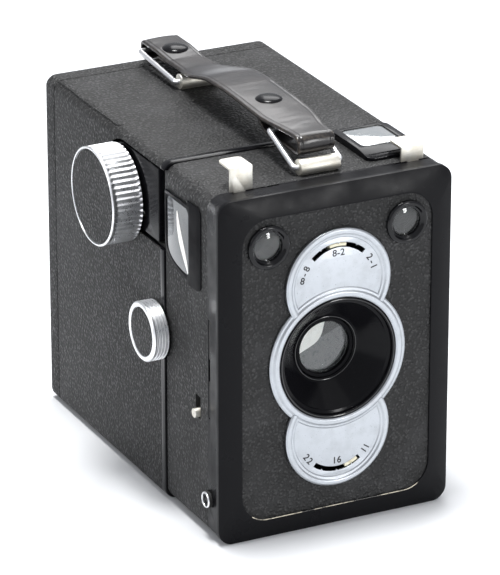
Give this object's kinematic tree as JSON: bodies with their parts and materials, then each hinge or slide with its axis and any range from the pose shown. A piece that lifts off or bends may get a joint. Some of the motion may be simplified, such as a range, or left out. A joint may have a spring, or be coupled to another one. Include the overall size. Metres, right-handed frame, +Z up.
{
  "type": "box camera",
  "caption": "Metal box camera for roll film with a carrying strap, a winding knob, setting tabs, two brilliant finders, and a rear shell that pulls off the chassis.",
  "frame": {"origin": "mouth of the tripod socket in the base, on the lens's vertical plane", "axes": "+X right when facing the lens, +Y from the lens towards the film, +Z up; the lens looks along -Y"},
  "size_m": [0.091, 0.1331, 0.1274],
  "materials": {
    "enamel": "gloss black stove enamel",
    "blackened": "matt black",
    "bare_steel": "plain sheet steel",
    "covering": "fine-grained black leatherette",
    "strap_leather": "smooth glossy brown-black leather",
    "dial_metal": "satin",
    "nickel": "satin nickel",
    "bright": "bright",
    "brass": "plain",
    "ivory": "ivory paint",
    "clear_glass": "clear",
    "red_glass": "ruby",
    "silvered": "surface mirror",
    "spool_metal": "black"
  },
  "bodies": {
    "front_body": {"front_bezel": "enamel", "front_leather": "covering", "front_housing": "blackened", "housing_leather": "covering", "scale_plate": "dial_metal", "lens_hood": "enamel", "lens_cell": "enamel", "front_lens": "clear_glass", "finder_rings": "enamel", "finder_windows": "clear_glass", "finder_mirrors": "silvered", "finder_housings": "blackened", "finder_frame_top": "enamel", "finder_frame_side": "enamel", "finder_glasses": "clear_glass", "shutter_plate": "bare_steel", "fixed_pins": "brass", "flash_socket": "bright", "flash_contact": "brass", "tripod_sockets": "nickel", "strap_bracket_front": "nickel", "light_cone": "blackened", "chassis_side_left": "blackened", "chassis_side_right": "blackened", "winder_plate": "enamel"},
    "aperture_slide": {"aperture_slide": "nickel"},
    "aperture_disc": {"aperture_pointer": "ivory", "aperture_disc": "blackened"},
    "distance_slide": {"distance_slide": "nickel"},
    "distance_disc": {"distance_pointer": "ivory", "distance_disc": "blackened", "close_up_lenses": "clear_glass"},
    "release": {"release_lever": "nickel", "release_spring": "bare_steel"},
    "shutter_blade": {"shutter_blade": "blackened"},
    "time_slide": {"time_slide": "nickel"},
    "film_roller_lower": {"film_roller_lower": "bright"},
    "film_roller_upper": {"film_roller_upper": "bright"},
    "takeup_spool": {"takeup_spool": "spool_metal"},
    "winder_sleeve": {"winder_sleeve": "brass"},
    "winder_knob": {"winder_knob": "bright", "winder_disc": "covering"},
    "rear_shell": {"rear_shell": "enamel", "shell_leather": "covering", "back_leather": "covering", "lock_bush": "brass", "window_frame": "enamel", "red_window": "red_glass", "pressure_plate": "blackened", "strap_bracket_rear": "nickel"},
    "lock_knob": {"lock_knob": "bright", "lock_disc": "covering", "lock_bolt": "bare_steel", "lock_spring": "bare_steel"},
    "window_cover": {"window_cover": "enamel"},
    "rear_loop": {"strap_loop_rear": "bright"},
    "strap": {"strap": "strap_leather", "strap_front_fold": "strap_leather", "strap_studs": "enamel"},
    "front_loop": {"strap_loop_front": "bright"}
  },
  "joints": [
    {"name": "aperture_set", "type": "slide", "parent": "front_body", "child": "aperture_slide", "axis": [1, 0, 0], "range_m": [0, 0.011]},
    {"name": "aperture_turn", "type": "hinge", "parent": "front_body", "child": "aperture_disc", "pos_m": [0, -0.007, 0.032], "axis": [0, 1, 0], "range_deg": [-1, 49]},
    {"name": "distance_set", "type": "slide", "parent": "front_body", "child": "distance_slide", "axis": [1, 0, 0], "range_m": [-0.0044, 0.0044]},
    {"name": "distance_turn", "type": "hinge", "parent": "front_body", "child": "distance_disc", "pos_m": [0, -0.005, 0.082], "axis": [0, 1, 0], "range_deg": [-29, 29]},
    {"name": "release_press", "type": "hinge", "parent": "front_body", "child": "release", "pos_m": [-0.016, -0.0045, 0.0395], "axis": [0, 1, 0], "range_deg": [0, 8.5], "stiffness_Nm_per_rad": 0.02, "springref_deg": -34.38, "deforming": ["release_spring"]},
    {"name": "shutter_swing", "type": "hinge", "parent": "front_body", "child": "shutter_blade", "pos_m": [0.016, 0.002, 0.036], "axis": [0, 1, 0], "range_deg": [0, 51]},
    {"name": "time_pull", "type": "slide", "parent": "front_body", "child": "time_slide", "axis": [-1, 0, 0], "range_m": [0, 0.008]},
    {"name": "roller_lower_spin", "type": "hinge", "parent": "front_body", "child": "film_roller_lower", "pos_m": [0, 0.0954, 0.0095], "axis": [1, 0, 0], "continuous": true},
    {"name": "roller_upper_spin", "type": "hinge", "parent": "front_body", "child": "film_roller_upper", "pos_m": [0, 0.0954, 0.1045], "axis": [1, 0, 0], "continuous": true},
    {"name": "winder_turn", "type": "hinge", "parent": "front_body", "child": "winder_sleeve", "pos_m": [-0.038, 0.048, 0.0947], "axis": [-1, 0, 0], "continuous": true},
    {"name": "winder_pull", "type": "slide", "parent": "winder_sleeve", "child": "winder_knob", "axis": [-1, 0, 0], "range_m": [0, 0.007]},
    {"name": "spool_turn", "type": "hinge", "parent": "front_body", "child": "takeup_spool", "pos_m": [0, 0.048, 0.0947], "axis": [-1, 0, 0], "continuous": true},
    {"name": "shell_off", "type": "slide", "parent": "front_body", "child": "rear_shell", "axis": [0, 1, 0], "range_m": [0, 0.105], "deforming": ["strap_front_fold"]},
    {"name": "lock_pull", "type": "slide", "parent": "rear_shell", "child": "lock_knob", "axis": [-1, 0, 0], "range_m": [0, 0.0026], "stiffness_N_per_m": 300, "springref_m": -0.003, "deforming": ["lock_spring"]},
    {"name": "window_open", "type": "slide", "parent": "rear_shell", "child": "window_cover", "axis": [0, 0, 1], "range_m": [0, 0.013]},
    {"name": "strap_lift", "type": "hinge", "parent": "rear_shell", "child": "rear_loop", "pos_m": [0, 0.077, 0.1165], "axis": [1, 0, 0], "range_deg": [0, 18]},
    {"name": "strap_level", "type": "hinge", "parent": "rear_loop", "child": "strap", "pos_m": [0, 0.10392, 0.11857], "axis": [1, 0, 0], "range_deg": [-19, 1]},
    {"name": "front_loop_swing", "type": "hinge", "parent": "front_body", "child": "front_loop", "pos_m": [0, -0.0075, 0.116], "axis": [1, 0, 0], "range_deg": [-1, 31.4]}
  ],
  "couplings": [
    {"joint": "aperture_turn", "follows": "aperture_set", "rad_per_m": 76.16},
    {"joint": "distance_turn", "follows": "distance_set", "rad_per_m": 111.07},
    {"joint": "shutter_swing", "follows": "release_press", "ratio": 5.9},
    {"joint": "spool_turn", "follows": "winder_turn", "ratio": 1},
    {"joint": "strap_level", "follows": "strap_lift", "ratio": -1},
    {"joint": "front_loop_swing", "follows": "strap_lift", "ratio": 1.69}
  ]
}
